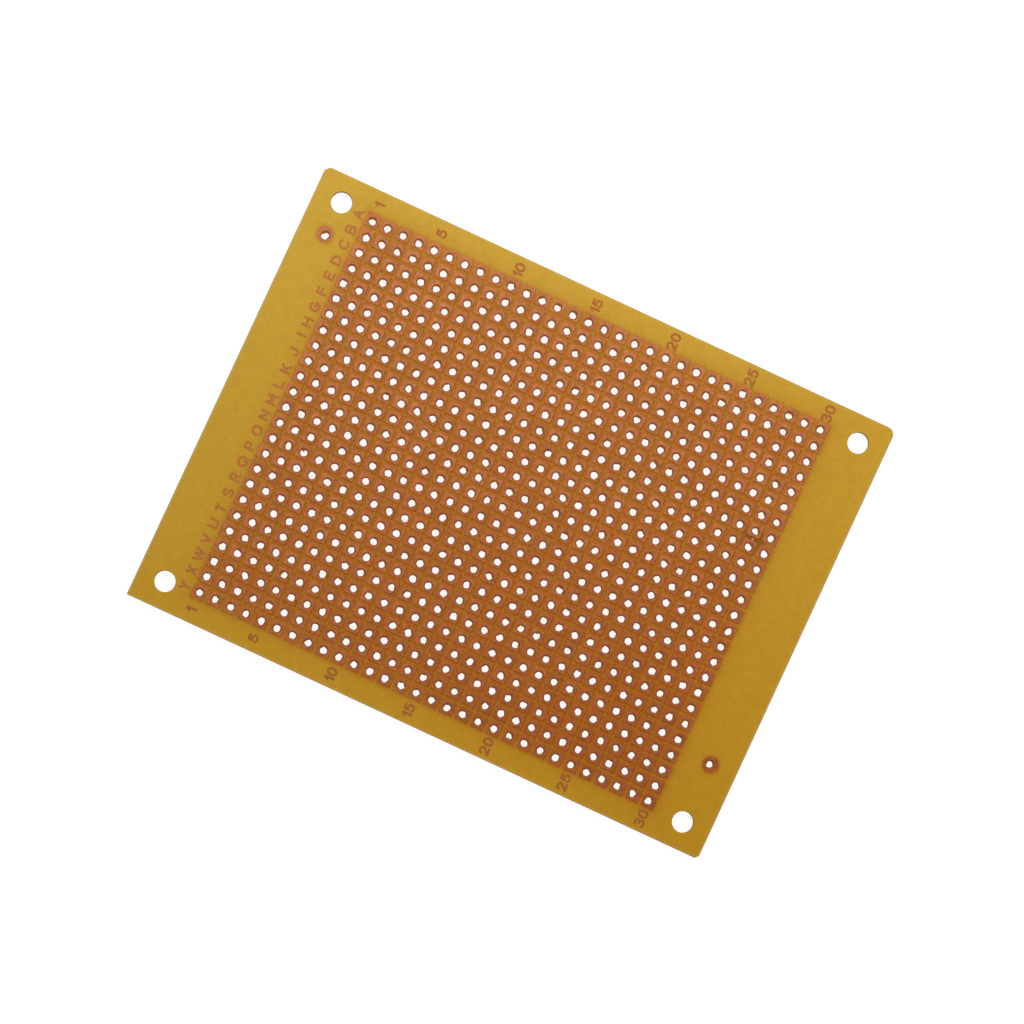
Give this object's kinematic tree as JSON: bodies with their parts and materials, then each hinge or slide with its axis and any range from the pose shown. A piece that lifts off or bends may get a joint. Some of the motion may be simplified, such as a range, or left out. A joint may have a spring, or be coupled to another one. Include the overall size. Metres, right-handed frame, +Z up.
{
  "type": "prototype board",
  "caption": "Flat rectangular prototype board of bare laminate with a grid of drilled square copper solder pads on its top face, two round pads and a mounting hole near each corner.",
  "frame": {"origin": "centre of the laminate's underside, which rests on the bench", "axes": "+X along the numbered columns, from the first to the last; +Y towards the first lettered row; +Z up, out of the copper side"},
  "size_m": [0.0936, 0.0706, 0.0016],
  "materials": {
    "laminate": "satin phenolic paper laminate, yellow ochre",
    "copper": "dull tarnished copper foil"
  },
  "bodies": {
    "root": {"laminate": "laminate", "pad_row_a": "copper", "pad_row_b": "copper", "pad_row_c": "copper", "pad_row_d": "copper", "pad_row_e": "copper", "pad_row_f": "copper", "pad_row_g": "copper", "pad_row_h": "copper", "pad_row_i": "copper", "pad_row_j": "copper", "pad_row_k": "copper", "pad_row_l": "copper", "pad_row_m": "copper", "pad_row_n": "copper", "pad_row_o": "copper", "pad_row_p": "copper", "pad_row_q": "copper", "pad_row_r": "copper", "pad_row_s": "copper", "pad_row_t": "copper", "pad_row_u": "copper", "pad_row_v": "copper", "pad_row_w": "copper", "pad_row_x": "copper", "pad_row_y": "copper", "round_pad_upper_left": "copper", "round_pad_lower_right": "copper"}
  },
  "joints": []
}
